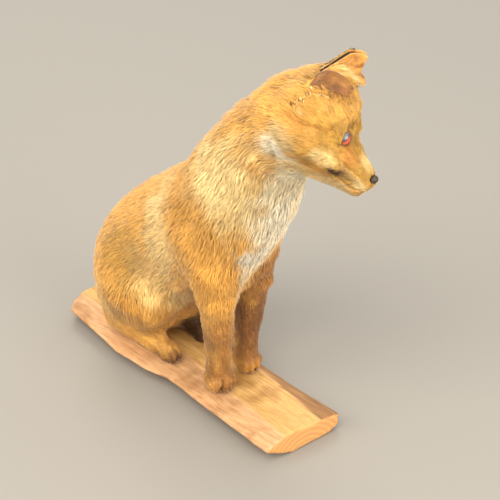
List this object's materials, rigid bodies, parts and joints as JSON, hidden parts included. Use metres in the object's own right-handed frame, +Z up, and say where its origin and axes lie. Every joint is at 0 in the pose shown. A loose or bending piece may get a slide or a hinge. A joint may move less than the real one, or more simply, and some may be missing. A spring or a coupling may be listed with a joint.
{
  "type": "taxidermy red fox on a wooden slab",
  "caption": "Young red fox mount, sitting upright with its head lowered and turned to its left, on a slab of split log with tapering edges.",
  "frame": {"origin": "the middle of the slab's flat underside", "axes": "+X along the slab, the way the fox's body faces; +Y to the fox's left; +Z up"},
  "size_m": [0.4574, 0.1841, 0.4717],
  "materials": {
    "coat": "dense golden fur, matt",
    "brown_coat": "short brown fur, matt",
    "pale_coat": "cream fur, matt",
    "ear_skin": "dry bare ear skin with short hair at its edges",
    "nose_skin": "dried, wrinkled nose skin",
    "eye_glass": "clouded glass eye, polished",
    "slab_wood": "weathered, unsealed split log"
  },
  "bodies": {
    "root": {"head": "coat", "muzzle": "coat", "lower_jaw": "pale_coat", "neck": "coat", "chest": "pale_coat", "belly": "coat", "rump": "coat", "thigh_right": "coat", "thigh_left": "coat", "foreleg_right": "coat", "foreleg_left": "coat", "forepaw_right": "brown_coat", "forepaw_left": "brown_coat", "hind_foot_right": "brown_coat", "hind_foot_left": "brown_coat", "tail_base": "coat", "tail_tip": "pale_coat", "ear_right": "brown_coat", "ear_left": "ear_skin", "nose": "nose_skin", "eye_right": "eye_glass", "eye_left": "eye_glass", "slab": "slab_wood"}
  },
  "joints": []
}
